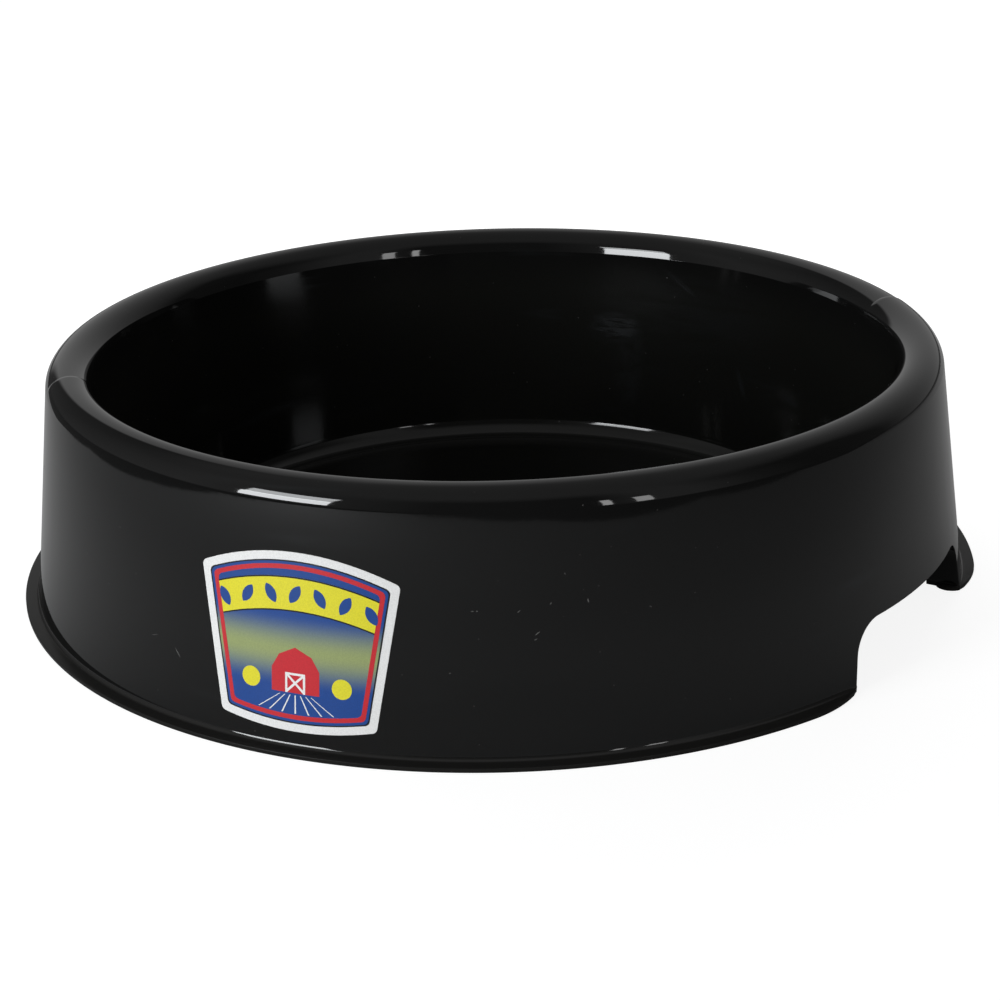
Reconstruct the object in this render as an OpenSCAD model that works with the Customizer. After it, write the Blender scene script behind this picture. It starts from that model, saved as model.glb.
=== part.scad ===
// Low round feed pan: one plastic moulding with a printed label on its skirt
// The origin is on the axis at the ground, +Z is up, and the hand notches face +X and -X

/* [Pan] */
// Height from the ground to the top of the rim
height = 116; // [100:1:140]
// Outside diameter of the skirt at the ground
skirt_d = 457; // [446:1:464]
// Wall thickness of the moulding
wall = 3; // [2:0.25:4]

/* [Rim] */
// Diameter of the circle through the middle of the rolled rim
rim_d = 410; // [398:1:418]
// Outside radius of the rolled rim
rim_r = 11; // [8:0.5:14]
// Height of the parting step across the rim
seam_step = 0.6; // [0.3:0.1:1]
// How much flatter the crest is on the far side of the parting step, as added radius
seam_flat = 0.4; // [0.3:0.1:4]
// Angle from the notch axis to the parting step
seam_angle = 45; // [30:1:60]

/* [Bowl] */
// Diameter at which the bowl's wall would meet its floor with no cove
bowl_d = 346; // [320:1:360]
// Radius of the cove between the floor and the wall
cove_r = 10.5; // [6:0.5:20]
// Gap between the floor and the ground
floor_gap = 1; // [0.5:0.25:4]

/* [Foot lip] */
// Width of the lip beyond the foot of the skirt
lip_w = 6.5; // [5:0.25:9]
// Thickness of the lip
lip_t = 2; // [1.5:0.25:3]
// Radius of the fillet between the lip and the skirt
lip_fillet_r = 2.2; // [1:0.1:4]
// Radius of the round pads that end the lip beside a notch
lip_end_r = 7; // [5:0.5:9]
// Reach of a pad into the notch
lip_end_reach = 3.3; // [1:0.1:4]
// Distance of a pad's middle inside the skirt's face
lip_end_inset = 5; // [4:0.25:6]

/* [Hand notches] */
// Width of a notch at the ground
notch_w = 126; // [90:1:150]
// Width of a notch at its top, as if its corners were square
notch_top_w = 115; // [80:1:140]
// Height of a notch
notch_h = 29; // [22:1:40]
// Radius of a notch's top corners
notch_r = 17; // [6:1:20]
// Reach of the collar behind a notch, inwards from the foot of the skirt
collar_reach = 26; // [20:1:32]

/* [Label] */
// Angle of the label round the skirt, from facing -Y towards +X
label_angle = 9; // [-20:1:20]
// Height of the label's middle, measured up the skirt
label_mid = 45; // [42:1:52]
// Width of the label across its shoulders
label_top_w = 91; // [70:1:110]
// Width of the label across its foot
label_foot_w = 72; // [60:1:90]
// Height of the label's straight sides
label_side_h = 64; // [50:1:68]
// Rise of the arched top edge
label_arch = 10; // [4:1:14]
// Drop of the bowed bottom edge
label_bow = 4; // [0:0.5:6]
// Radius of the label's corners
label_corner_r = 2.5; // [1:0.5:4]
// Clearance between the skirt and the adhesive
label_gap = 0.15; // [0.1:0.05:0.3]
// Thickness of the adhesive
adhesive_t = 0.05; // [0.03:0.01:0.1]
// Thickness of the face film
film_t = 0.15; // [0.1:0.01:0.25]
// Thickness of one coat of ink
ink_t = 0.05; // [0.04:0.01:0.08]

/* [Print] */
// Width of the unprinted edge
border_w = 3.6; // [2:0.2:6]
// Width of a black line
line_w = 0.6; // [0.4:0.1:1]
// Width of the red frame
frame_w = 2; // [1:0.2:3]
// Gap between the black edge line and the red frame
frame_gap = 1.2; // [0.6:0.2:2]
// Height of the yellow band
band_h = 15; // [10:1:20]
// Height of the band's ends above the label's middle
band_mid = 14; // [8:1:16]
// Number of kernels on the band
kernel_count = 7; // [3:1:9]
// Length of a kernel
kernel_l = 9; // [6:0.5:10]
// Width of a kernel
kernel_w = 4.6; // [3:0.2:6]
// Width of the barn
barn_w = 22; // [14:1:28]
// Height of the barn
barn_h = 20; // [12:1:22]
// Depth of the barn's foot below the label's middle
barn_foot = 19; // [16:1:22]
// Width of the strips on the barn's door
door_strip_w = 1; // [0.6:0.1:1.6]
// Radius of a hay bale
bale_r = 4.4; // [3:0.2:5.5]
// Distance of each bale from the label's middle line
bale_x = 21; // [18:1:26]
// Width of a furrow line
furrow_w = 0.9; // [0.5:0.1:1.5]

/* [Hidden] */
$fn = 96;
// How far a cut runs past what it cuts
overrun = 2;
// Depth by which a straight wall enters the arc that it runs into, so that the two join cleanly
weld = 0.01;
// Steps along a curved edge of the print
edge_steps = 24;
// Height above the rim's middle from which the parting step may cut, as a share of the rim's radius
seam_low_share = 0.2;
// Outline of the barn's front, in shares of its width and height
barn_shares = [[-0.5, 0], [0.5, 0], [0.5, 0.52], [0.34, 0.82], [0, 1], [-0.34, 0.82], [-0.5, 0.52]];
// Door of the barn, as shares of the barn's width and height
door_w_share = 0.42;
door_h_share = 0.44;
// Place of the kernels along the band, as a share of the band's half width, and their lean
kernel_span_share = 0.74;
kernel_lean = 30;
// Half width of the furrows' fan at the horizon and at the label's foot, as shares of the foot's width
furrow_top_share = 0.1;
furrow_foot_share = 0.42;
// Number of furrow lines
furrow_count = 7;

skirt_r = skirt_d / 2;
lip_r = skirt_r + lip_w;
skirt_foot = [skirt_r, 0];
bowl_foot = [bowl_d / 2, floor_gap + wall];
rim_centre = [rim_d / 2, height - rim_r];

function unit(angle) = [cos(angle), sin(angle)];

// Angle of the straight line from a point that touches a circle on its left (1) or its right (-1)
function touch_angle(from, centre, r, side) =
    atan2(centre.y - from.y, centre.x - from.x) + side * asin(r / norm(centre - from));

// Direction up each wall, and direction out of its face
skirt_angle = touch_angle(skirt_foot, rim_centre, rim_r - weld, -1);
skirt_lean = skirt_angle - 90;
bowl_angle = touch_angle(bowl_foot, rim_centre, rim_r - weld, 1);
bowl_lean = bowl_angle + 90;
cove_centre = bowl_foot + (cove_r - weld) * [-tan(bowl_angle / 2), 1];

// A point up the skirt from its foot, and out from its surface
function on_skirt(up, out) = skirt_foot + up * unit(skirt_angle) + out * unit(skirt_lean);

// Two points at the same place up the skirt, at two distances out
function on_skirt_pair(up, first, second) = [on_skirt(up, first), on_skirt(up, second)];

// A point of the skirt's surface at a height
function skirt_at(z) = [skirt_r - z * tan(skirt_lean), z];

// Section of all that lies under the moulding's face, or under a face set into it by a wall
module pan_fill(inset, past) {
    rim = rim_r - inset;
    cove = cove_r + inset;
    foot = on_skirt(-past, -inset);
    skirt_top = rim_centre + (rim - weld) * unit(skirt_lean);
    bowl_top = rim_centre + (rim - weld) * unit(bowl_lean);
    bowl_low = cove_centre - (cove - weld) * unit(bowl_lean);
    floor_edge = cove_centre - [0, cove - weld];
    difference() {
        polygon([[-past, foot.y], foot, skirt_top, bowl_top, bowl_low, floor_edge, [-past, floor_edge.y]]);
        translate(cove_centre) circle(cove);
    }
    translate(rim_centre) circle(rim);
}

// Section of the moulding from the middle of the floor to the foot of the skirt
module pan_section() {
    difference() {
        pan_fill(0, 0);
        pan_fill(wall, overrun);
    }
}

// Crescent that lowers the rim by the parting step, round the half away from the label
module seam_cut() {
    crest_r = rim_r + seam_flat;
    crest_centre = rim_centre + [0, rim_r - seam_step - crest_r];
    rotate([0, 0, seam_angle]) rotate_extrude(angle = 180) difference() {
        translate(rim_centre + rim_r * [-1, seam_low_share]) square([2 * rim_r, rim_r]);
        translate(crest_centre) circle(crest_r);
    }
}

// Section of the lip and of the fillet up to the skirt, rooted inside the skirt's wall
module lip_section() {
    root = skirt_r - wall / 2;
    fillet = skirt_at(lip_t + lip_fillet_r) + [lip_fillet_r / cos(skirt_lean), 0];
    touch = fillet - lip_fillet_r * unit(skirt_lean);
    translate([root, 0]) square([lip_r - root, lip_t]);
    difference() {
        polygon([[root, 0], [fillet.x, 0], [fillet.x, lip_t], touch, [root, touch.y]]);
        translate(fillet) circle(lip_fillet_r + weld);
    }
}

// The lip narrows to a flat beside each notch, until it is almost level with the skirt
module lip() {
    half_gap = notch_w / 2 - lip_t;
    flat_x = sqrt(skirt_r * skirt_r - half_gap * half_gap);
    difference() {
        rotate_extrude() lip_section();
        for (turn = [0, 180]) {
            rotate([0, 0, turn]) translate([flat_x, -lip_r, -overrun]) cube([lip_r, 2 * lip_r, height]);
        }
    }
}

// Round pads that end the lip under the lower corners of the notches
module lip_ends() {
    y = notch_w / 2 + lip_end_r - lip_end_reach;
    x = sqrt(skirt_r * skirt_r - y * y) - lip_end_inset;
    for (turn = [0, 180], hand = [0, 1]) {
        rotate([0, 0, turn]) mirror([0, hand, 0]) translate([x, y, 0]) cylinder(h = lip_t, r = lip_end_r);
    }
}

// Outline of a hand notch across its axis, grown outwards by a wall for the collar
module notch_shape(grow) {
    half_foot = notch_w / 2;
    half_top = notch_top_w / 2;
    normal = unit(atan2(notch_h, half_top - half_foot) - 90);
    corner = [half_top - notch_r * (1 - normal.y) / normal.x, notch_h - notch_r];
    r = notch_r + grow;
    low = half_foot + overrun * (half_foot - half_top) / notch_h + (grow - weld) / normal.x;
    half = [[low, -overrun], corner + (r - weld) * normal, corner + [0, r - weld]];
    polygon(concat(half, [for (i = [2 : -1 : 0]) [-half[i].x, half[i].y]]));
    for (hand = [0, 1]) mirror([hand, 0]) translate(corner) circle(r);
}

module notch_prism(grow, from, to) {
    translate([from, 0, 0]) rotate([90, 0, 90]) linear_extrude(height = to - from) notch_shape(grow);
}

// Block behind a notch that the notch opens into a collar, trimmed within the skirt's wall
module collar_block() {
    inside = skirt_r - wall / 2;
    intersection() {
        notch_prism(wall, skirt_r - collar_reach, skirt_r);
        cylinder(h = rim_centre.y, r1 = inside, r2 = inside - rim_centre.y * tan(skirt_lean));
    }
}

module pan() {
    color("#1c1c1c") {
        difference() {
            union() {
                rotate_extrude() pan_section();
                lip();
                for (turn = [0, 180]) rotate([0, 0, turn]) collar_block();
            }
            seam_cut();
            for (turn = [0, 180]) {
                rotate([0, 0, turn]) notch_prism(0, skirt_r - collar_reach - overrun, lip_r + overrun);
            }
        }
        lip_ends();
    }
}

// A thin layer of the label between two distances out from its seat, in the shape of its children
module label_layer(from, to) {
    inner = label_gap + from;
    outer = label_gap + to;
    span = 2 * atan(label_top_w / skirt_r);
    reach = label_side_h / 2 + label_arch + overrun;
    low = label_mid - reach;
    high = label_mid + reach;
    middle = on_skirt(label_mid, 0);
    intersection() {
        rotate([0, 0, label_angle - 90 - span / 2]) rotate_extrude(angle = span)
            polygon(concat(on_skirt_pair(low, inner, outer), on_skirt_pair(high, outer, inner)));
        rotate([0, 0, label_angle]) translate([0, -middle.x, middle.y]) rotate([90 - skirt_lean, 0, 0])
            linear_extrude(height = label_top_w, center = true) children();
    }
}

// A coat of ink, counted from the film outwards
module ink_coat(number) {
    film_face = adhesive_t + film_t;
    label_layer(film_face + (number - 1) * ink_t, film_face + number * ink_t) children();
}

// Outline of the label: an arched top, straight tapering sides and a bowed foot
module label_shape(inset) {
    sides = [for (i = [0 : edge_steps]) 2 * i / edge_steps - 1];
    top = [for (s = sides) [-s * label_top_w / 2, label_side_h / 2 + label_arch * (1 - s * s)]];
    foot = [for (s = sides) [s * label_foot_w / 2, -label_side_h / 2 - label_bow * (1 - s * s)]];
    offset(r = label_corner_r) offset(delta = -label_corner_r - inset) polygon(concat(top, foot));
}

frame_inset = border_w + line_w + frame_gap;
field_inset = frame_inset + frame_w;

// The strip of the band between two heights from its middle, arched like the label's top
module band_strip(low, high) {
    sides = [for (i = [0 : edge_steps]) 2 * i / edge_steps - 1];
    function arched(s, y) = [s * label_top_w / 2, band_mid + y + label_arch * (1 - s * s)];
    upper = [for (s = sides) arched(-s, high)];
    lower = [for (s = sides) arched(s, low)];
    intersection() {
        polygon(concat(lower, upper));
        label_shape(field_inset);
    }
}

// Kernels that lean to the left and the right in turn
module kernels() {
    lens_r = (kernel_l * kernel_l + kernel_w * kernel_w) / (4 * kernel_w);
    half_span = label_top_w / 2 * kernel_span_share;
    for (i = [0 : kernel_count - 1]) {
        s = 2 * i / (kernel_count - 1) - 1;
        x = s * half_span;
        arch_share = 1 - pow(2 * x / label_top_w, 2);
        lean = i % 2 == 0 ? kernel_lean : -kernel_lean;
        translate([x, band_mid + label_arch * arch_share]) rotate(lean) intersection() {
            translate([lens_r - kernel_w / 2, 0]) circle(lens_r);
            translate([kernel_w / 2 - lens_r, 0]) circle(lens_r);
        }
    }
}

module barn_front() {
    points = [for (p = barn_shares) [p.x * barn_w, p.y * barn_h - barn_foot]];
    polygon(points);
}

// Strips round the barn's door and across its corners
module barn_door() {
    w = door_w_share * barn_w;
    h = door_h_share * barn_h;
    brace = atan2(h, w);
    translate([-w / 2, -barn_foot]) difference() {
        square([w, h]);
        translate([door_strip_w, 0]) square([w - 2 * door_strip_w, h - door_strip_w]);
    }
    intersection() {
        translate([-w / 2, -barn_foot]) square([w, h]);
        translate([0, h / 2 - barn_foot]) for (side = [-1, 1]) {
            rotate(side * brace) square([2 * w, door_strip_w], center = true);
        }
    }
}

module bales() {
    for (side = [-1, 1]) translate([side * bale_x, bale_r - barn_foot]) circle(bale_r);
}

// Lines that fan out from the horizon to the foot of the label
module furrows() {
    horizon = -barn_foot - furrow_w;
    foot = -label_side_h / 2 - label_bow;
    intersection() {
        label_shape(field_inset + line_w);
        for (i = [0 : furrow_count - 1]) {
            s = 2 * i / (furrow_count - 1) - 1;
            x_top = s * furrow_top_share * label_foot_w;
            x_foot = s * furrow_foot_share * label_foot_w;
            near = [furrow_w / 2, 0];
            far = [furrow_w / 4, 0];
            start = [x_foot, foot];
            end = [x_top, horizon];
            polygon([start - near, start + near, end + far, end - far]);
        }
    }
}

module label_adhesive() {
    color("#d9d3c0") label_layer(0, adhesive_t) label_shape(0);
}

module label_film() {
    color("#e9ecf0") label_layer(adhesive_t, adhesive_t + film_t) label_shape(0);
}

module label_ink_blue() {
    color("#264c94") {
        ink_coat(1) label_shape(border_w);
        ink_coat(3) kernels();
    }
}

module label_ink_yellow() {
    color("#e1de32") ink_coat(2) {
        band_strip(-band_h / 2, band_h / 2);
        bales();
    }
}

module label_ink_red() {
    color("#cd2d37") ink_coat(2) {
        difference() {
            label_shape(frame_inset);
            label_shape(field_inset);
        }
        barn_front();
    }
}

module label_ink_black() {
    color("#101010") {
        ink_coat(2) difference() {
            label_shape(border_w);
            label_shape(border_w + line_w);
        }
        ink_coat(3) band_strip(band_h / 2 - line_w, band_h / 2);
        ink_coat(3) band_strip(-band_h / 2, line_w - band_h / 2);
    }
}

module label_ink_white() {
    color("#f2f2ee") {
        ink_coat(2) furrows();
        ink_coat(3) barn_door();
    }
}

pan();
label_adhesive();
label_film();
label_ink_blue();
label_ink_yellow();
label_ink_red();
label_ink_black();
label_ink_white();
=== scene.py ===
"""A low round feed pan in glossy black plastic with a printed label, on a plain white studio floor."""

import math

import bmesh
import bpy
import numpy as np
from mathutils import Matrix, Vector


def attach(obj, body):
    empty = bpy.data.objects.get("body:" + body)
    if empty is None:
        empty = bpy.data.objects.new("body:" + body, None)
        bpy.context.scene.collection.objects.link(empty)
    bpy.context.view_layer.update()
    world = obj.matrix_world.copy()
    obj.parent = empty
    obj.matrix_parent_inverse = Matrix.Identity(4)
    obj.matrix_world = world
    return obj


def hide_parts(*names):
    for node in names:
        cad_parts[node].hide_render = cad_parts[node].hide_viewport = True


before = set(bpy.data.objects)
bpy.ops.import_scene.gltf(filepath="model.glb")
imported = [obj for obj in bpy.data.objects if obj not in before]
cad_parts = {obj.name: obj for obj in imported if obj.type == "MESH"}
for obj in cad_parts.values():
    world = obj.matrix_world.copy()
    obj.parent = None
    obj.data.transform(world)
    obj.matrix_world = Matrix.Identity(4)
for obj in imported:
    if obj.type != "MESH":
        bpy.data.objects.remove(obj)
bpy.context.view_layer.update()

MM = 0.001

# Sizes of the pan in millimetres, the same as the CAD solid's
HEIGHT = 116
SKIRT_R = 228.5
WALL = 3
RIM_MID_R = 205
RIM_R = 11
SEAM_STEP = 0.6
SEAM_FLAT = 0.4
SEAM_ANGLE = 45
BOWL_R = 173
COVE_R = 10.5
FLOOR_GAP = 1
LIP_R = 235
LIP_T = 2
LIP_FILLET_R = 2.2
LIP_END_R = 7
LIP_END_REACH = 3.3
LIP_END_INSET = 5
NOTCH_HALF_FOOT = 63
NOTCH_HALF_TOP = 57.5
NOTCH_H = 29
NOTCH_R = 17
COLLAR_REACH = 26

# Fineness of the pan's mesh: degrees between columns, and millimetres off true arcs and along straights
COLUMN_STEP = 0.75
ARC_SAG = 0.008
STRAIGHT_STEP = 24
# Length over which the near half of the rim rounds down at the parting step, and the columns across that
SEAM_W = 4
SEAM_COLUMNS = 10
# Rounding of the moulding's edges, of the lip's edge, and of the lip's plan where it narrows beside a notch
EDGE_R = 0.6
LIP_EDGE_R = 0.3
LIP_BLEND_R = 65
# Angle from a notch's axis at which the even columns start, and the steps along a notch's straight edges
NOTCH_CLEAR = 17
NOTCH_SIDE_STEPS = 5
NOTCH_TOP_STEPS = 14
# Steps along the lip's round ends
PAD_STEPS = 12
# Degrees at which an edge's rounding has points
EDGE_TURNS = (30, 60, 90)
# Shares of the collar's depth at which the points round a pad start, and over which they run
PAD_START_SHARE = 0.05
PAD_RUN_SHARE = 0.65
# Reach of the closer columns at the parting step, and the first of them, as shares of its rounding
SEAM_CLEAR_SHARE = 1.1
SEAM_FIRST_SHARE = 0.01
# Height of the foot's rows where there is no lip, as a share of the lip's fillet
PLAIN_FOOT_SHARE = 0.8
# Edges sharper than this many degrees stay sharp, on the pan and on the label
PAN_SHARP = 35
LABEL_SHARP = 30


def unit(angle):
    return np.array([math.cos(angle), math.sin(angle)])


def touch_angle(start, centre, radius, side):
    """Direction of the line from start that touches a circle on its left (1) or its right (-1)."""
    run, rise = centre - start
    return math.atan2(rise, run) + side * math.asin(radius / math.hypot(run, rise))


RIM_CENTRE = np.array([RIM_MID_R, HEIGHT - RIM_R], float)
SKIRT_FOOT = np.array([SKIRT_R, 0.0])
BOWL_FOOT = np.array([BOWL_R, FLOOR_GAP + WALL], float)
SKIRT_LEAN = touch_angle(SKIRT_FOOT, RIM_CENTRE, RIM_R, -1) - math.pi / 2
BOWL_LEAN = touch_angle(BOWL_FOOT, RIM_CENTRE, RIM_R, 1) + math.pi / 2
SKIRT_TOP = RIM_CENTRE + RIM_R * unit(SKIRT_LEAN)
BOWL_TOP = RIM_CENTRE + RIM_R * unit(BOWL_LEAN)


def skirt_radius(z, inset=0.0):
    """Radius of the skirt's outside at a height, or of a face set into it."""
    return SKIRT_R - z * math.tan(SKIRT_LEAN) - inset / math.cos(SKIRT_LEAN)


def arc_steps(turn, radius):
    """Number of chords along an arc that stay within the sag."""
    return max(3, math.ceil(abs(turn) / (2 * math.acos(1 - ARC_SAG / radius))))


def split_straights(points):
    """The same line with its long straights split into even steps."""
    out = [points[0]]
    for start, end in zip(points, points[1:]):
        steps = math.ceil(np.linalg.norm(end - start) / STRAIGHT_STEP)
        out += [start + (end - start) * k / steps for k in range(1, steps + 1)]
    return out


def rounded(corners):
    """Points along a line of corners (r, z, radius), where each corner with a radius becomes an arc."""
    points = []
    for i, (r, z, radius) in enumerate(corners):
        here = np.array([r, z], float)
        if not radius:
            points.append(here)
            continue
        before = np.array(corners[i - 1][:2]) - here
        after = np.array(corners[i + 1][:2]) - here
        before /= np.linalg.norm(before)
        after /= np.linalg.norm(after)
        half = math.acos(before @ after) / 2
        middle = (before + after) / np.linalg.norm(before + after)
        centre = here + middle * radius / math.sin(half)
        start = here + before * radius / math.tan(half) - centre
        end = here + after * radius / math.tan(half) - centre
        turn = math.copysign(math.pi - 2 * half, start[0] * end[1] - start[1] * end[0])
        first = math.atan2(start[1], start[0])
        steps = arc_steps(turn, radius)
        points += [centre + radius * unit(first + turn * k / steps) for k in range(steps + 1)]
    return split_straights(points)


def pan_lines():
    """The section's lines: up the foot and skirt, the rim's angles, down the bowl, and the underside."""
    foot = rounded([
        (SKIRT_R, 0, 0),
        (LIP_R, 0, LIP_EDGE_R),
        (LIP_R, LIP_T, LIP_EDGE_R),
        (skirt_radius(LIP_T), LIP_T, LIP_FILLET_R),
        (*SKIRT_TOP, 0),
    ])[1:]
    rim_angles = np.linspace(SKIRT_LEAN, BOWL_LEAN, arc_steps(BOWL_LEAN - SKIRT_LEAN, RIM_R) + 1)
    bowl = rounded([(*BOWL_TOP, 0), (*BOWL_FOOT, COVE_R), (0, BOWL_FOOT[1], 0)])[1:]
    inside = RIM_CENTRE + (RIM_R - WALL) * unit(SKIRT_LEAN)
    under = [np.array([skirt_radius(0, WALL), 0.0]), inside]
    under += [RIM_CENTRE + (RIM_R - WALL) * unit(a) for a in rim_angles[2:-1:2]]
    bowl_inside = RIM_CENTRE + (RIM_R - WALL) * unit(BOWL_LEAN)
    corner = BOWL_FOOT + WALL * np.array([math.tan((BOWL_LEAN - math.pi / 2) / 2), -1])
    under = split_straights(under)
    under += rounded([(*bowl_inside, 0), (*corner, COVE_R + WALL), (0, FLOOR_GAP, 0)])
    return foot[:-1], rim_angles, bowl, under


def notch_outline():
    """Points (y, z) of a notch's edge from its -Y foot over its top to its +Y foot, and their moves out."""
    side = unit(math.atan2(NOTCH_H, NOTCH_HALF_TOP - NOTCH_HALF_FOOT) - math.pi / 2)
    side_angle = math.atan2(side[1], side[0])
    corner = np.array([NOTCH_HALF_TOP - NOTCH_R * (1 - side[1]) / side[0], NOTCH_H - NOTCH_R])
    foot = np.array([NOTCH_HALF_FOOT, 0.0])
    shoulder = corner + NOTCH_R * side
    points = [foot]
    moves = [np.array([1 / side[0], 0.0])]
    for k in range(1, NOTCH_SIDE_STEPS):
        points.append(foot + (shoulder - foot) * k / NOTCH_SIDE_STEPS)
        moves.append(side)
    turn = math.pi / 2 - side_angle
    steps = arc_steps(turn, NOTCH_R)
    for k in range(steps + 1):
        move = unit(side_angle + turn * k / steps)
        points.append(corner + NOTCH_R * move)
        moves.append(move)
    for k in range(1, NOTCH_TOP_STEPS):
        points.append(np.array([corner[0] * (1 - k / NOTCH_TOP_STEPS), NOTCH_H]))
        moves.append(np.array([0.0, 1.0]))
    points.append(np.array([0.0, NOTCH_H]))
    moves.append(np.array([0.0, 1.0]))
    flip = np.array([-1.0, 1.0])
    points = [p * flip for p in points] + points[-2::-1]
    moves = [m * flip for m in moves] + moves[-2::-1]
    return np.array(points), np.array(moves)


def even_columns():
    """Angles of the columns between the notches on one side, closer together at the parting step."""
    steps = round((180 - 2 * NOTCH_CLEAR) / COLUMN_STEP)
    angles = np.linspace(NOTCH_CLEAR, 180 - NOTCH_CLEAR, steps + 1)
    reach = math.degrees(SEAM_W / RIM_MID_R)
    angles = angles[abs(angles - SEAM_ANGLE) > SEAM_CLEAR_SHARE * reach]
    rounding = np.linspace(SEAM_FIRST_SHARE, 1, SEAM_COLUMNS)
    seam = SEAM_ANGLE + reach * np.concatenate([-rounding, rounding])
    return np.radians(np.sort(np.concatenate([angles, seam])))


def far_share(angle):
    """How far the rim has dropped to the far half's level, gradually at the near half's ends."""
    from_far_middle = (angle - math.radians(SEAM_ANGLE) - math.pi / 2) % (2 * math.pi)
    past_seam = min(from_far_middle, 2 * math.pi - from_far_middle) - math.pi / 2
    return min(max(1 - past_seam * RIM_MID_R / SEAM_W, 0), 1) ** 2


def lip_reach(angle):
    """Radius of the lip's edge in plan: a circle that blends into a flat beside each notch."""
    flat = math.sqrt(SKIRT_R**2 - (NOTCH_HALF_FOOT - LIP_T)**2)
    blend_x = flat - LIP_BLEND_R
    blend_y = math.sqrt((LIP_R - LIP_BLEND_R)**2 - blend_x**2)
    out = np.array([abs(math.cos(angle)), abs(math.sin(angle))])
    if out[1] * blend_x > out[0] * blend_y:
        return LIP_R
    if out[1] * flat < out[0] * blend_y:
        return flat / out[0]
    near = out @ (blend_x, blend_y)
    return near + math.sqrt(near**2 - blend_x**2 - blend_y**2 + LIP_BLEND_R**2)


class PanMesh:
    """The moulding as rings of quads: an outer and an inner skin, the ground between, and the notches."""

    def __init__(self):
        self.vertices = []
        self.faces = []
        self.foot, self.rim_angles, self.bowl, self.under = pan_lines()
        self.points, self.moves = notch_outline()
        self.lip_rows = sum(abs(r - skirt_radius(z)) > 1e-6 for r, z in self.foot)
        self.columns = []
        for turn in (0, math.pi):
            self.columns += [self.notch_column(k, turn) for k in range(len(self.points))]
            self.columns += [self.even_column(a + turn) for a in even_columns()]
        self.skins()
        self.ground()
        for turn in (0, 1):
            self.notch(turn)

    def notch_column(self, k, turn):
        """Angles of a notch's column on both skins, and the heights at which it starts."""
        column = {"notch": k, "lip": 0.0, "turn": turn}
        for skin, grow, inset in (("outer", EDGE_R, 0), ("inner", WALL, WALL)):
            y, z = self.points[k] + grow * self.moves[k]
            column[skin] = turn + math.asin(y / skirt_radius(z, inset))
            column[skin + "_low"] = z
        return column

    def even_column(self, angle):
        """A column away from the notches, with the share of the lip's width there."""
        lip = (lip_reach(angle) - SKIRT_R) / (LIP_R - SKIRT_R)
        return {"notch": None, "lip": lip, "outer": angle, "inner": angle, "outer_low": 0, "inner_low": 0}

    def add(self, r, angle, z):
        self.vertices.append((r * math.cos(angle) * MM, r * math.sin(angle) * MM, z * MM))
        return len(self.vertices) - 1

    def foot_point(self, row, column):
        """A point of the foot and skirt, with the lip fading towards a notch and rows lifted over it."""
        r, z = self.foot[row]
        plain_top = LIP_T + PLAIN_FOOT_SHARE * LIP_FILLET_R
        plain_z = plain_top * row / self.lip_rows if row < self.lip_rows else z
        lip = column["lip"]
        proud = lip * (r - skirt_radius(z))
        z = lip * z + (1 - lip) * plain_z
        z = column["outer_low"] + z * (1 - column["outer_low"] / SKIRT_TOP[1])
        return skirt_radius(z) + proud, z

    def rim_point(self, angle, column):
        """A point of the rim, lower by the parting step on the far half."""
        offset = SEAM_FLAT + SEAM_STEP
        rise = math.sin(angle) * offset
        crest = math.sqrt(rise**2 + (RIM_R + SEAM_FLAT)**2 - offset**2) - rise
        drop = max(RIM_R - crest, 0)
        return RIM_CENTRE + (RIM_R - far_share(column["outer"]) * drop) * unit(angle)

    def skins(self):
        """Both skins, each closed by a fan at the axis."""
        self.outer = []
        self.inner = []
        top = self.add(0, 0, BOWL_FOOT[1])
        bottom = self.add(0, 0, FLOOR_GAP)
        under_top = RIM_CENTRE[1]
        for column in self.columns:
            line = [self.foot_point(row, column) for row in range(len(self.foot))]
            line += [self.rim_point(a, column) for a in self.rim_angles]
            line += self.bowl[:-1]
            self.outer.append([self.add(r, column["outer"], z) for r, z in line])
            inside = []
            for r, z in self.under[:-1]:
                if r > RIM_MID_R and z < under_top:
                    z = column["inner_low"] + z * (1 - column["inner_low"] / under_top)
                    r = skirt_radius(z, WALL)
                inside.append(self.add(r, column["inner"], z))
            self.inner.append(inside)
        for here, there in self.pairs():
            self.strip(self.outer[here], self.outer[there])
            self.faces.append((self.outer[here][-1], self.outer[there][-1], top))
            self.strip(self.inner[there], self.inner[here])
            self.faces.append((self.inner[there][-1], self.inner[here][-1], bottom))

    def pairs(self):
        count = len(self.columns)
        return [(i, (i + 1) % count) for i in range(count)]

    def strip(self, line, other):
        """Faces between two lines, which may share their ends."""
        for k in range(len(line) - 1):
            corners = dict.fromkeys((line[k], other[k], other[k + 1], line[k + 1]))
            self.faces.append(tuple(corners))

    def ground(self):
        """The flat ring that the pan stands on, with a gap at each notch."""
        for here, there in self.pairs():
            if self.columns[here]["notch"] is None or self.columns[there]["notch"] is None:
                self.faces.append((self.inner[here][0], self.inner[there][0],
                                   self.outer[there][0], self.outer[here][0]))

    def notch(self, which):
        """The notch's faces and its collar, from the skirt's outer edge round to the inner skin."""
        first = which * len(self.columns) // 2
        last = len(self.points) - 1
        lines = self.pad_lines(0, which, first)
        for k in range(1, last):
            middle = [self.notch_vertex(k, which, *step) for step in self.collar_steps(k)]
            lines.append([self.outer[first + k][0], *middle, self.inner[first + k][0]])
        lines += reversed(self.pad_lines(last, which, first + last))
        for line, other in zip(lines, lines[1:]):
            self.strip(other, line)
        self.faces.append(tuple(lines[0]))
        self.faces.append(tuple(reversed(lines[-1])))

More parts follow.
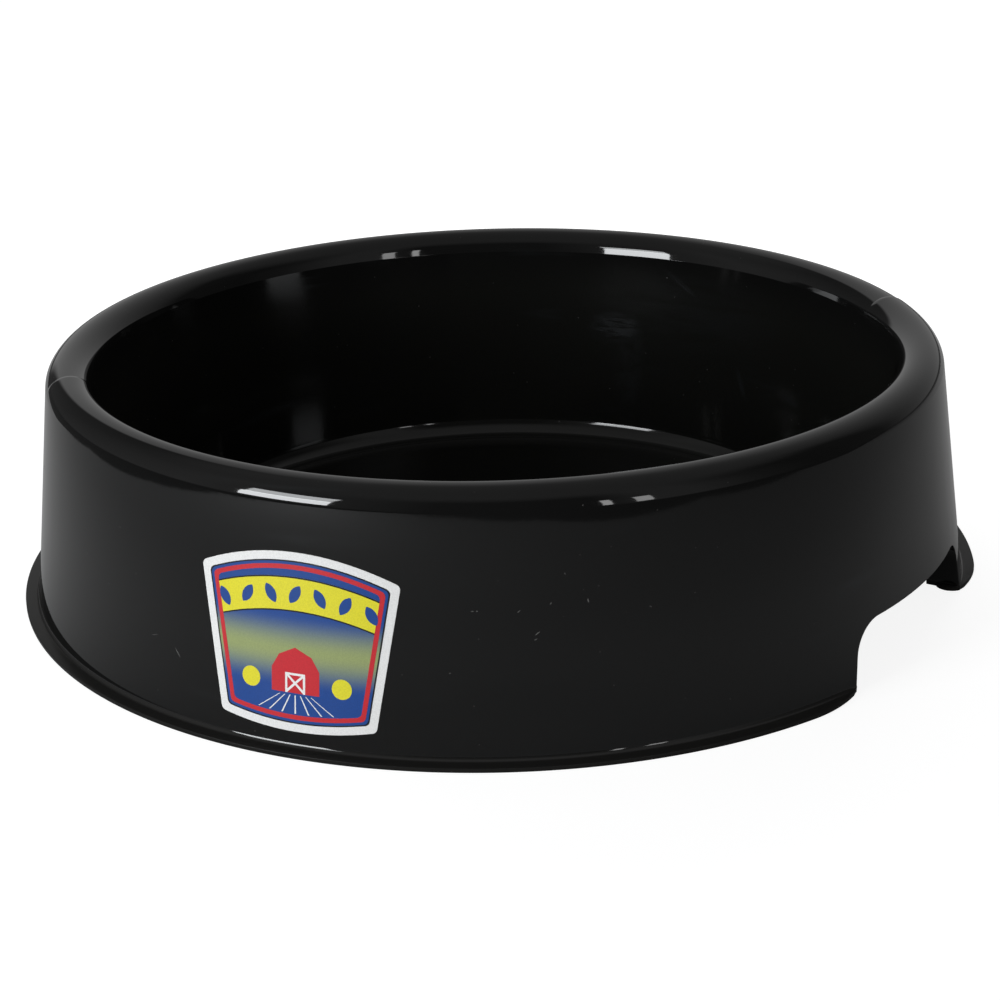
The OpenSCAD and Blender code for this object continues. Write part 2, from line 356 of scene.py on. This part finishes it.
    def pad_lines(self, k, which, column):
        """Lines at a notch's foot over the lip's round end: its edge, its top and the wall above."""
        foot = abs(self.points[k][0])
        side = math.copysign(1, self.points[k][0])
        hand = -1 if which else 1
        pad_y = NOTCH_HALF_FOOT + LIP_END_R - LIP_END_REACH
        pad_x = math.sqrt(SKIRT_R**2 - pad_y**2) - LIP_END_INSET
        rows = (
            (LIP_END_R, 0), (LIP_END_R, LIP_T - LIP_EDGE_R),
            (LIP_END_R - LIP_EDGE_R, LIP_T), (0, LIP_T + LIP_EDGE_R),
        )
        lines = []
        for radius, z in rows:
            lean = z * (NOTCH_HALF_FOOT - NOTCH_HALF_TOP) / NOTCH_H
            line = [self.outer[column][0]]
            for grow, x in self.collar_steps(k):
                y = foot - lean + grow
                if abs(x - pad_x) < radius:
                    y = min(y, pad_y - math.sqrt(radius**2 - (x - pad_x)**2))
                self.vertices.append((hand * x * MM, hand * side * y * MM, z * MM))
                line.append(len(self.vertices) - 1)
            lines.append([*line, self.inner[column][0]])
        return lines

    def collar_steps(self, k):
        """How far out from the notch's edge, and how far along its axis, each point of the collar lies."""
        y, z = self.points[k]
        mouth = math.sqrt(skirt_radius(z)**2 - y**2)
        end = SKIRT_R - COLLAR_REACH
        turns = np.radians(EDGE_TURNS)
        steps = [(EDGE_R * (1 - math.sin(t)), mouth - EDGE_R * (1 - math.cos(t))) for t in turns]
        pad_turns = np.linspace(0, math.pi, PAD_STEPS + 1)[1:]
        shares = PAD_START_SHARE + PAD_RUN_SHARE * (1 - np.cos(pad_turns)) / 2
        steps += [(0, mouth + (end - mouth) * share) for share in shares]
        steps += [(EDGE_R * (1 - math.cos(t)), end + EDGE_R * (1 - math.sin(t))) for t in (0, *turns)]
        for t in (0, *turns):
            steps.append((WALL - EDGE_R * (1 - math.sin(t)), end + EDGE_R * (1 - math.cos(t))))
        return steps

    def notch_vertex(self, k, which, grow, x):
        y, z = self.points[k] + grow * self.moves[k]
        hand = -1 if which else 1
        self.vertices.append((hand * x * MM, hand * y * MM, z * MM))
        return len(self.vertices) - 1


def mesh_piece(name, vertices, faces, sharp=PAN_SHARP):
    """A piece from plain lists, smooth but for edges sharper than an angle in degrees."""
    mesh = bpy.data.meshes.new(name)
    mesh.from_pydata(vertices, [], faces)
    work = bmesh.new()
    work.from_mesh(mesh)
    bmesh.ops.recalc_face_normals(work, faces=work.faces)
    work.to_mesh(mesh)
    work.free()
    mesh.shade_smooth()
    mesh.set_sharp_from_angle(angle=math.radians(sharp))
    piece = bpy.data.objects.new(name, mesh)
    bpy.context.scene.collection.objects.link(piece)
    return piece


# Camera, solved from the photograph's rim, foot and silhouette
CAMERA_AZIMUTH = 31.5
CAMERA_ELEVATION = 21.09
CAMERA_ROLL = 1.527
CAMERA_DISTANCE = 1.1659
CAMERA_RIGHT = 0.0009
CAMERA_UP = 0.0272
FOCAL_PIXELS = 2311.8
IMAGE_PIXELS = 1000
SENSOR_MM = 36
CLIP_START = 0.01


def add_camera():
    azimuth = math.radians(CAMERA_AZIMUTH)
    elevation = math.radians(CAMERA_ELEVATION)
    roll = math.radians(CAMERA_ROLL)
    back = Vector((
        math.sin(azimuth) * math.cos(elevation),
        -math.cos(azimuth) * math.cos(elevation),
        math.sin(elevation),
    ))
    right = Vector((math.cos(azimuth), math.sin(azimuth), 0))
    up = back.cross(right)
    place = CAMERA_DISTANCE * back + CAMERA_RIGHT * right + CAMERA_UP * up
    rolled_right = math.cos(roll) * right - math.sin(roll) * up
    rolled_up = math.cos(roll) * up + math.sin(roll) * right
    lens = bpy.data.cameras.new("camera")
    lens.sensor_width = SENSOR_MM
    lens.lens = SENSOR_MM * FOCAL_PIXELS / IMAGE_PIXELS
    lens.clip_start = CLIP_START
    camera = bpy.data.objects.new("camera", lens)
    camera.matrix_world = Matrix((
        (rolled_right.x, rolled_up.x, back.x, place.x),
        (rolled_right.y, rolled_up.y, back.y, place.y),
        (rolled_right.z, rolled_up.z, back.z, place.z),
        (0, 0, 0, 1),
    ))
    bpy.context.scene.collection.objects.link(camera)
    bpy.context.scene.camera = camera


# Directions of the studio as the camera sees it: to its right, towards it and away from it
AZIMUTH = math.radians(CAMERA_AZIMUTH)
STUDIO_RIGHT = Vector((math.cos(AZIMUTH), math.sin(AZIMUTH), 0))
STUDIO_FRONT = Vector((math.sin(AZIMUTH), -math.cos(AZIMUTH), 0))


def studio_point(right, front, up):
    """A place in the studio, in metres from the pan's foot."""
    return right * STUDIO_RIGHT + front * STUDIO_FRONT + Vector((0, 0, up))


def add_node(tree, kind, **values):
    """A shader node: small-letter names are its properties, capital names its inputs, linked if sockets."""
    node = tree.nodes.new("ShaderNode" + kind)
    for name, value in values.items():
        if name[0].islower():
            setattr(node, name, value)
            continue
        socket = node.inputs[name.replace("_", " ")]
        if isinstance(value, bpy.types.NodeSocket):
            tree.links.new(value, socket)
        else:
            socket.default_value = value
    return node


def calculate(tree, operation, *values):
    """A Math node's result."""
    node = tree.nodes.new("ShaderNodeMath")
    node.operation = operation
    for socket, value in zip(node.inputs, values):
        if isinstance(value, bpy.types.NodeSocket):
            tree.links.new(value, socket)
        else:
            socket.default_value = value
    return node.outputs[0]


def spread(tree, value, low, high, start=0.0, end=1.0):
    """A value between low and high stretched smoothly to start and end."""
    node = add_node(tree, "MapRange", interpolation_type="SMOOTHSTEP")
    tree.links.new(value, node.inputs["Value"])
    for name, number in (("From Min", low), ("From Max", high), ("To Min", start), ("To Max", end)):
        node.inputs[name].default_value = number
    return node.outputs["Result"]


def noise(tree, place, scale, detail=2.0, distortion=0.0):
    node = add_node(tree, "TexNoise", Vector=place, Scale=scale, Detail=detail, Distortion=distortion)
    return node.outputs["Fac"]


def blend(tree, share, first, second):
    """A colour between two colours."""
    node = add_node(tree, "Mix", data_type="RGBA")
    for socket, value in zip((node.inputs[0], node.inputs[6], node.inputs[7]), (share, first, second)):
        if isinstance(value, bpy.types.NodeSocket):
            tree.links.new(value, socket)
        else:
            socket.default_value = value
    return node.outputs[2]


def new_material(name):
    material = bpy.data.materials.new(name)
    material.use_nodes = True
    tree = material.node_tree
    place = add_node(tree, "TexCoord").outputs["Object"]
    return material, tree, tree.nodes["Principled BSDF"], place


def round_coordinates(tree, place):
    """Coordinates that follow the pan round: along its rim, out from its axis and up."""
    parts = add_node(tree, "SeparateXYZ", Vector=place)
    angle = calculate(tree, "ARCTAN2", parts.outputs["Y"], parts.outputs["X"])
    along = calculate(tree, "MULTIPLY", angle, RIM_MID_R * MM)
    across = add_node(tree, "CombineXYZ", X=parts.outputs["X"], Y=parts.outputs["Y"])
    radius = add_node(tree, "VectorMath", operation="LENGTH", Vector=across.outputs[0]).outputs["Value"]
    return add_node(tree, "CombineXYZ", X=along, Y=radius, Z=parts.outputs["Z"]).outputs[0]


def stretched(tree, place, scale, turn=(0, 0, 0)):
    node = add_node(tree, "Mapping", Vector=place, Scale=scale, Rotation=turn)
    return node.outputs["Vector"]


def specks(tree, place, scale, size, share):
    """Scattered specks: a share of the cells of a grid of points each hold one, of a size in cells."""
    cells = add_node(tree, "TexVoronoi", Vector=place, Scale=scale)
    near = spread(tree, cells.outputs["Distance"], size, 0.5 * size)
    pick = add_node(tree, "SeparateColor", Color=cells.outputs["Color"]).outputs["Red"]
    return calculate(tree, "MULTIPLY", near, calculate(tree, "LESS_THAN", pick, share))


# Marks on the plastic: degrees round, height, half length and half width in millimetres, lean in degrees,
# and strength. Wipes and hazes are inside the bowl, nicks outside it.
WIPES = (
    (99.8, 65, 21, 11, 0, 1), (89, 94, 20, 2.5, 28, 1), (74, 46.5, 11, 2.5, 55, 1),
    (61.5, 46, 11, 2.5, 5, 1), (86, 82, 80, 34, 0, 0.25), (97, 42, 13, 44, 0, 0.35),
)
NICKS = (
    (-54.7, 56, 1.5, 0.3, 40, 1), (-54.9, 53.5, 0.9, 0.3, 30, 0.7), (-49.2, 68.3, 1.2, 0.35, 100, 1),
    (-53.2, 68.3, 0.7, 0.35, 60, 0.7), (-56.6, 65.6, 1, 0.3, 40, 0.7), (-61.5, 66.1, 0.8, 0.3, 0, 0.6),
    (-61, 66.1, 0.5, 0.35, 0, 0.7), (-42.4, 62.7, 0.8, 0.3, 150, 0.5), (-51.6, 80.4, 0.6, 0.3, 120, 0.5),
    (-96.6, 31.3, 2.9, 0.3, 127, 0.8), (-100.3, 35.7, 2.5, 0.3, 20, 0.3), (-64, 39.8, 0.6, 0.3, 30, 0.5),
)


# Stretch of the streaks along a wipe, in half lengths, and the depth that a mark ignores, in metres
STREAK_STRETCH = (1.2, 1, 5)
MARK_DEPTH = 10
# Share of a mark's half size at which its fading starts, and the streaks' noise levels
MARK_CORE = 0.35
STREAK_LEVELS = (0.3, 0.65)


def placed_marks(tree, around, table, streaky):
    """Soft patches at given places round the pan, with streaks along them if asked for."""
    marks = 0.0
    for degrees, up, half_length, half_width, lean, strength in table:
        patch = add_node(tree, "Mapping", vector_type="TEXTURE", Vector=around)
        patch.inputs["Location"].default_value = (math.radians(degrees) * RIM_MID_R * MM, 0, up * MM)
        patch.inputs["Rotation"].default_value = (0, -math.radians(lean), 0)
        patch.inputs["Scale"].default_value = (half_length * MM, MARK_DEPTH, half_width * MM)
        local = patch.outputs["Vector"]
        away = add_node(tree, "VectorMath", operation="LENGTH", Vector=local).outputs["Value"]
        mark = spread(tree, away, 1, MARK_CORE, 0, strength)
        if streaky:
            streaks = noise(tree, stretched(tree, local, STREAK_STRETCH), 1, 3, 0.4)
            streaks = spread(tree, streaks, *STREAK_LEVELS)
            mark = calculate(tree, "MULTIPLY", mark, streaks)
        marks = calculate(tree, "MAXIMUM", mark, marks)
    return marks


# Colours of the plastic: its clouds outside, a paler and warmer copy of them in the bowl that is painted
# light lifting the shaded inside, the bowl's bottom, and each kind of mark
PLASTIC_DARK = (0.0031, 0.0031, 0.0032, 1)
PLASTIC_PALE = (0.0051, 0.0051, 0.0049, 1)
BOWL_LIFTED_DARK = (0.0046, 0.0047, 0.0042, 1)
BOWL_LIFTED_PALE = (0.0071, 0.0072, 0.0064, 1)
BOTTOM_COLOUR = (0.0085, 0.0087, 0.0078, 1)
SMUDGE_COLOUR = (0.010, 0.0108, 0.0115, 1)
LIP_COLOUR = (0.013, 0.0126, 0.012, 1)
DUST_COLOUR = (0.022, 0.021, 0.020, 1)
NICK_COLOUR = (0.12, 0.12, 0.115, 1)
BOTTOM_SHARE = 0.8
# Scales of its textures
CLOUD_SCALE = 7
SMUDGE_SCALE = 11
WAVE_SCALE = 18
GRAIN_SCALE = 420
DUST_SCALE = 150
WIPE_STRETCH = (9, 60, 110)
LEAN_SCRATCH = ((60, 60, 9), (0, 0.5, 0.3))
LONG_SCRATCH = ((7, 60, 60), (0, 0.12, 0))
# Noise levels at which smudges show, and the size and share of the cells that hold dust or scratches
WIPE_LEVELS = (0.55, 0.8)
PATCH_LEVELS = (0.5, 0.68)
DUST_CELLS = (0.06, 0.5)
LEAN_CELLS = (0.035, 0.25)
LONG_CELLS = (0.03, 0.25)
# Radii in metres over which the bowl, its wall, its bottom and the steeper shading begin
BOWL_EDGE = (0.1945, 0.189)
WALL_FOOT = (0.176, 0.180)
BOTTOM_EDGE = (0.176, 0.170)
STEEP_EDGE = (0.205, 0.200)
# Heights in metres over which the lip's dust and its worn top begin
LIP_DUST_EDGE = (0.0042, 0.0025)
LIP_TOP_EDGE = (0.0024, 0.0021)
# Roughness of the plain plastic, and what each feature adds to it
PLAIN_ROUGH = 0.03
GRAIN_ROUGH = 0.02
SMUDGE_ROUGH = 0.08
BOWL_ROUGH = 0.03
WALL_ROUGH = 0.05
LIP_ROUGH = 0.28
DUST_ROUGH = 0.3
# Gloss of the plain plastic, and what the bowl's wall and the lip's worn top change it by
PLASTIC_IOR = 1.5
PLAIN_GLOSS = 0.5
WALL_GLOSS = -0.18
LIP_GLOSS = -0.38
# Bump of the grain and of the moulding's slow waves
WAVE_SHARE = 8
BUMP_STRENGTH = 0.02
BUMP_DISTANCE = 0.0001
# Heights in metres between which the bowl's wall reflects as if it were steeper, and by what slope
STEEP_LOW = 0.013
STEEP_HIGH = 0.105
STEEP_SLOPE = 0.0875


def pan_plastic():
    """Glossy black polyethylene with faint clouds, wipe marks, fine scratches and dust, and painted light
    that makes the bowl's inside paler.
    """
    material, tree, surface, place = new_material("pan_plastic")
    around = round_coordinates(tree, place)
    cloud = noise(tree, place, CLOUD_SCALE, 3)
    wipe = spread(tree, noise(tree, stretched(tree, around, WIPE_STRETCH), 1, 3, 0.6), *WIPE_LEVELS)
    patch = spread(tree, noise(tree, place, SMUDGE_SCALE, 2, 0.4), *PATCH_LEVELS)
    smudge = calculate(tree, "MULTIPLY", wipe, patch)
    parts = add_node(tree, "SeparateXYZ", Vector=around)
    radius = parts.outputs["Y"]
    height = parts.outputs["Z"]
    inside = spread(tree, radius, *BOWL_EDGE)
    wall_share = calculate(tree, "MULTIPLY", inside, spread(tree, radius, *WALL_FOOT))
    wiped = calculate(tree, "MULTIPLY", inside, placed_marks(tree, around, WIPES, True))
    smudge = calculate(tree, "MAXIMUM", smudge, wiped)
    lip_dust = spread(tree, height, *LIP_DUST_EDGE)
    lip_top = spread(tree, height, *LIP_TOP_EDGE)
    dust = specks(tree, place, DUST_SCALE, *DUST_CELLS)
    lean_scratch = specks(tree, stretched(tree, around, *LEAN_SCRATCH), 1, *LEAN_CELLS)
    long_scratch = specks(tree, stretched(tree, around, *LONG_SCRATCH), 1, *LONG_CELLS)
    scratch = calculate(tree, "MAXIMUM", lean_scratch, long_scratch)
    mark = calculate(tree, "MAXIMUM", dust, scratch)
    outside = calculate(tree, "SUBTRACT", 1, inside)
    nick = calculate(tree, "MULTIPLY", outside, placed_marks(tree, around, NICKS, False))
    colour = blend(tree, cloud, PLASTIC_DARK, PLASTIC_PALE)
    # The bowl's inside takes a paler, warmer copy of the plastic's colour: painted light that lifts the
    # inside
    lifted_bowl_colour = blend(tree, cloud, BOWL_LIFTED_DARK, BOWL_LIFTED_PALE)
    colour = blend(tree, inside, colour, lifted_bowl_colour)
    bottom = spread(tree, radius, *BOTTOM_EDGE, 0, BOTTOM_SHARE)
    colour = blend(tree, bottom, colour, BOTTOM_COLOUR)
    colour = blend(tree, smudge, colour, SMUDGE_COLOUR)
    colour = blend(tree, lip_dust, colour, LIP_COLOUR)
    colour = blend(tree, mark, colour, DUST_COLOUR)
    colour = blend(tree, nick, colour, NICK_COLOUR)
    tree.links.new(colour, surface.inputs["Base Color"])
    grain = noise(tree, place, GRAIN_SCALE, 2)
    rough = calculate(tree, "MULTIPLY_ADD", grain, GRAIN_ROUGH, PLAIN_ROUGH)
    added = (
        (smudge, SMUDGE_ROUGH), (inside, BOWL_ROUGH), (wall_share, WALL_ROUGH), (lip_top, LIP_ROUGH),
        (mark, DUST_ROUGH),
    )
    for share, amount in added:
        rough = calculate(tree, "MULTIPLY_ADD", share, amount, rough)
    tree.links.new(rough, surface.inputs["Roughness"])
    wave = calculate(tree, "MULTIPLY_ADD", noise(tree, place, WAVE_SCALE, 1), WAVE_SHARE, grain)
    wall = add_node(tree, "Clamp", Value=height, Min=STEEP_LOW, Max=STEEP_HIGH).outputs[0]
    wall = calculate(tree, "MULTIPLY_ADD", wall, STEEP_SLOPE, -STEEP_SLOPE * STEEP_HIGH)
    wall = calculate(tree, "MULTIPLY", wall, spread(tree, radius, *STEEP_EDGE))
    steep = add_node(tree, "Bump", Strength=1, Distance=1, Height=wall)
    bump = add_node(tree, "Bump", Strength=BUMP_STRENGTH, Distance=BUMP_DISTANCE, Height=wave)
    tree.links.new(steep.outputs["Normal"], bump.inputs["Normal"])
    tree.links.new(bump.outputs["Normal"], surface.inputs["Normal"])
    surface.inputs["IOR"].default_value = PLASTIC_IOR
    gloss = calculate(tree, "MULTIPLY_ADD", wall_share, WALL_GLOSS, PLAIN_GLOSS)
    gloss = calculate(tree, "MULTIPLY_ADD", lip_top, LIP_GLOSS, gloss)
    tree.links.new(gloss, surface.inputs["Specular IOR Level"])
    return material


# Height at which the blue ink turns olive, and how far that reaches up and down
FADE_Z = 0.044
FADE_REACH = 0.016
# The print's grain and clouds: their scales, the tint that the grain gives and the bump of the clouds
PRINT_GRAIN_SCALE = 1800
PRINT_CLOUD_SCALE = 60
PRINT_LEVELS = (0.3, 0.7)
PRINT_TINT = (0.93, 1.05)
PRINT_ROUGH_SPREAD = 0.1
PRINT_BUMP = 0.05


def label_material(name, colour, roughness, second=None):
    """A printed layer of the label: its colour with a fine print grain, and a satin gloss that varies."""
    material, tree, surface, place = new_material(name)
    grain = noise(tree, place, PRINT_GRAIN_SCALE, 2)
    cloud = noise(tree, place, PRINT_CLOUD_SCALE, 2)
    if second:
        height = add_node(tree, "SeparateXYZ", Vector=place).outputs["Z"]
        away = calculate(tree, "ABSOLUTE", calculate(tree, "SUBTRACT", height, FADE_Z))
        colour = blend(tree, spread(tree, away, 0, FADE_REACH, 1, 0), (*colour, 1), (*second, 1))
    else:
        colour = (*colour, 1)
    tint = spread(tree, grain, *PRINT_LEVELS, *PRINT_TINT)
    shade = add_node(tree, "VectorMath", operation="SCALE", Scale=tint)
    if isinstance(colour, bpy.types.NodeSocket):
        tree.links.new(colour, shade.inputs["Vector"])
    else:
        shade.inputs["Vector"].default_value = colour[:3]
    tree.links.new(shade.outputs["Vector"], surface.inputs["Base Color"])
    smoothest = roughness - PRINT_ROUGH_SPREAD / 2
    rough = calculate(tree, "MULTIPLY_ADD", cloud, PRINT_ROUGH_SPREAD, smoothest)
    tree.links.new(rough, surface.inputs["Roughness"])
    bump = add_node(tree, "Bump", Strength=PRINT_BUMP, Distance=BUMP_DISTANCE, Height=cloud)
    tree.links.new(bump.outputs["Normal"], surface.inputs["Normal"])
    return material


# The label's layers: colour, roughness and the colour that it fades to
LABEL_LAYERS = {
    "label_adhesive": ((0.69, 0.65, 0.53), 0.6, None),
    "label_film": ((0.80, 0.80, 0.79), 0.3, None),
    "label_ink_blue": ((0.012, 0.060, 0.26), 0.3, (0.29, 0.34, 0.14)),
    "label_ink_yellow": ((0.73, 0.67, 0.030), 0.3, None),
    "label_ink_red": ((0.55, 0.024, 0.034), 0.3, None),
    "label_ink_black": ((0.006, 0.006, 0.006), 0.3, None),
    "label_ink_white": ((0.82, 0.82, 0.81), 0.3, None),
}


def dress_label():
    for name, (colour, roughness, second) in LABEL_LAYERS.items():
        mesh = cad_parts[name].data
        mesh.materials.clear()
        mesh.materials.append(label_material(name, colour, roughness, second))
        mesh.shade_smooth()
        mesh.set_sharp_from_angle(angle=math.radians(LABEL_SHARP))


# Corners of the floor sheet, in metres to the right and to the front: wide behind, rounded in front
FLOOR_CORNERS = (
    (-1.9, -3.5), (3.4, -3.5), (3.4, -1.0), (0.78, 0.12), (0.80, 0.32), (0.71, 0.73), (0.43, 0.93),
    (0.17, 1.13), (-0.16, 1.20), (-0.50, 1.15), (-0.76, 0.82), (-0.80, 0.45), (-0.71, 0.14), (-0.60, -0.10),
    (-0.46, -0.25),
)
# What the floor shows of itself: its paleness near and far, paler near the pan as painted light that offsets
# the pan's shadow in reflections, and for the camera a glow and part of the shadow
FLOOR_NEAR_LIFTED = 0.40
FLOOR_FAR = 0.29
FLOOR_SHADE = (0.26, 0.26, 0.26, 1)
FLOOR_GLOW = 0.88
# Distance from the axis at which the floor's painted lift near the pan starts to fade to its far paleness
FLOOR_FADE_START = 0.25
# Share of the white surroundings that reflections show: all of it would turn the black plastic grey
GLOSS_SHARE = 0.02
# Distance from the axis over which the floor turns fully white
GLOW_START = 0.30
GLOW_END = 0.60


def white_share(tree):
    """The share of the white surroundings that a ray meets: all for the camera, little in reflections."""
    path = add_node(tree, "LightPath")
    seen = calculate(tree, "MAXIMUM", path.outputs["Is Camera Ray"], path.outputs["Is Transmission Ray"])
    mirrored = calculate(tree, "MULTIPLY", path.outputs["Is Glossy Ray"], GLOSS_SHARE)
    return calculate(tree, "MAXIMUM", seen, mirrored)


def add_floor():
    """A pale sheet that the camera sees as white, with a soft shadow round the pan."""
    mesh = bpy.data.meshes.new("floor")
    corners = [studio_point(right, front, 0) for right, front in reversed(FLOOR_CORNERS)]
    mesh.from_pydata(corners, [], [range(len(corners))])
    floor = bpy.data.objects.new("floor", mesh)
    bpy.context.scene.collection.objects.link(floor)
    material = bpy.data.materials.new("floor")
    material.use_nodes = True
    tree = material.node_tree
    tree.nodes.clear()
    place = add_node(tree, "TexCoord").outputs["Object"]
    reach = add_node(tree, "VectorMath", operation="LENGTH", Vector=place).outputs["Value"]
    glow = add_node(tree, "Emission", Strength=spread(tree, reach, GLOW_START, GLOW_END, FLOOR_GLOW, 1))
    shade = add_node(tree, "BsdfDiffuse", Color=FLOOR_SHADE)
    shown = tree.nodes.new("ShaderNodeAddShader")
    tree.links.new(glow.outputs[0], shown.inputs[0])
    tree.links.new(shade.outputs[0], shown.inputs[1])
    # Paler near the pan: painted light that offsets the pan's shadow on the floor as the plastic reflects it
    lifted_paleness = spread(tree, reach, FLOOR_FADE_START, GLOW_END, FLOOR_NEAR_LIFTED, FLOOR_FAR)
    plain = add_node(tree, "BsdfDiffuse", Color=lifted_paleness)
    mix = add_node(tree, "MixShader", Fac=white_share(tree))
    tree.links.new(plain.outputs[0], mix.inputs[1])
    tree.links.new(shown.outputs[0], mix.inputs[2])
    output = tree.nodes.new("ShaderNodeOutputMaterial")
    tree.links.new(mix.outputs[0], output.inputs["Surface"])
    mesh.materials.append(material)


# Brightness of the studio's walls, by degrees to the right of the direction from the pan to the camera
WALLS = (
    (-180, 0.38), (-157, 0.43), (-153, 0.04), (-136, 0.06), (-118, 0.11), (-95, 0.19), (-80, 0.24),
    (-60, 0.18), (-34, 0.12), (-16, 0.03), (24, 0.03), (38, 0.22), (48, 0.22), (66, 0.08), (82, 0.03),
    (107, 0.04), (118, 0.15), (130, 0.22), (153, 0.31), (180, 0.38),
)
# Brightness of the ceiling, and the heights of a direction between which the walls turn into it
CEILING = 0.20
CEILING_START = 0.60
CEILING_END = 0.88
# Brightness of the studio's ground beyond the floor sheet, and the height of a direction where it is full
GROUND = 0.03
GROUND_END = -0.04


def add_world():
    """White to the camera; walls and a ceiling to everything else."""
    world = bpy.data.worlds.new("studio")
    world.use_nodes = True
    bpy.context.scene.world = world
    tree = world.node_tree
    direction = add_node(tree, "TexCoord").outputs["Generated"]
    sides = []
    for axis in (STUDIO_RIGHT, STUDIO_FRONT):
        side = add_node(tree, "VectorMath", operation="DOT_PRODUCT", Vector=direction)
        side.inputs[1].default_value = axis
        sides.append(side.outputs["Value"])
    turn = calculate(tree, "ARCTAN2", *sides)
    share = calculate(tree, "MULTIPLY_ADD", turn, 0.5 / math.pi, 0.5)
    walls = add_node(tree, "ValToRGB", Fac=share)
    stops = walls.color_ramp.elements
    while len(stops) < len(WALLS):
        stops.new(0.5)
    for stop, (degrees, brightness) in zip(stops, WALLS):
        stop.position = degrees / 360 + 0.5
        stop.color = (brightness, brightness, brightness, 1)
    height = add_node(tree, "SeparateXYZ", Vector=direction).outputs["Z"]
    over = spread(tree, height, CEILING_START, CEILING_END)
    room = blend(tree, over, walls.outputs["Color"], (CEILING, CEILING, CEILING, 1))
    room = blend(tree, spread(tree, height, 0, GROUND_END), room, (GROUND, GROUND, GROUND, 1))
    background = tree.nodes["Background"]
    tree.links.new(blend(tree, white_share(tree), room, (1, 1, 1, 1)), background.inputs["Color"])


def add_softbox(name, centre, target, width, height, radiance, colour):
    """A rectangular lamp that faces a target, with an even glow."""
    light = bpy.data.lights.new(name, "AREA")
    light.shape = "RECTANGLE"
    light.size = width
    light.size_y = height
    light.energy = radiance * math.pi * width * height
    light.color = colour
    lamp = bpy.data.objects.new(name, light)
    lamp.location = centre
    lamp.rotation_euler = (target - centre).to_track_quat("-Z", "Y").to_euler()
    bpy.context.scene.collection.objects.link(lamp)
    return lamp


# Lamps: places to the right, to the front and up, width, height, radiance and colour
NEUTRAL = (1, 1, 1)
COOL = (0.975, 1.0, 1.02)
SOFTBOXES = {
    "softbox_left_low": ((-1.03, 0.92, 0.34), 0.54, 0.32, 16, COOL),
    "softbox_left_high": ((-1.03, 0.92, 0.65), 0.54, 0.32, 9, COOL),
    "softbox_right_a": ((0.94, 2.08, 0.54), 0.09, 0.76, 5.5, NEUTRAL),
    "softbox_right_b": ((1.30, 2.00, 0.54), 0.17, 0.76, 4.6, NEUTRAL),
}
# Fills add diffuse light only, and don't show in reflections
FILLS = {
    "front_fill": ((0.3, 2.1, 0.6), 1.2, 0.6, 2.6, NEUTRAL),
    "back_fill": ((0, -1.0, 0.6), 1.6, 0.6, 4.2, NEUTRAL),
}
AIM_HEIGHT = 0.08


def add_lamps():
    target = studio_point(0, 0, AIM_HEIGHT)
    for name, (place, width, height, radiance, colour) in (SOFTBOXES | FILLS).items():
        lamp = add_softbox(name, studio_point(*place), target, width, height, radiance, colour)
        lamp.visible_glossy = name not in FILLS


bpy.context.scene.view_settings.view_transform = "Standard"
add_camera()
shell = PanMesh()
pan = mesh_piece("pan_shell", shell.vertices, shell.faces)
pan.data.materials.append(pan_plastic())
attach(pan, "root")
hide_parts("pan")
dress_label()
add_floor()
add_world()
add_lamps()
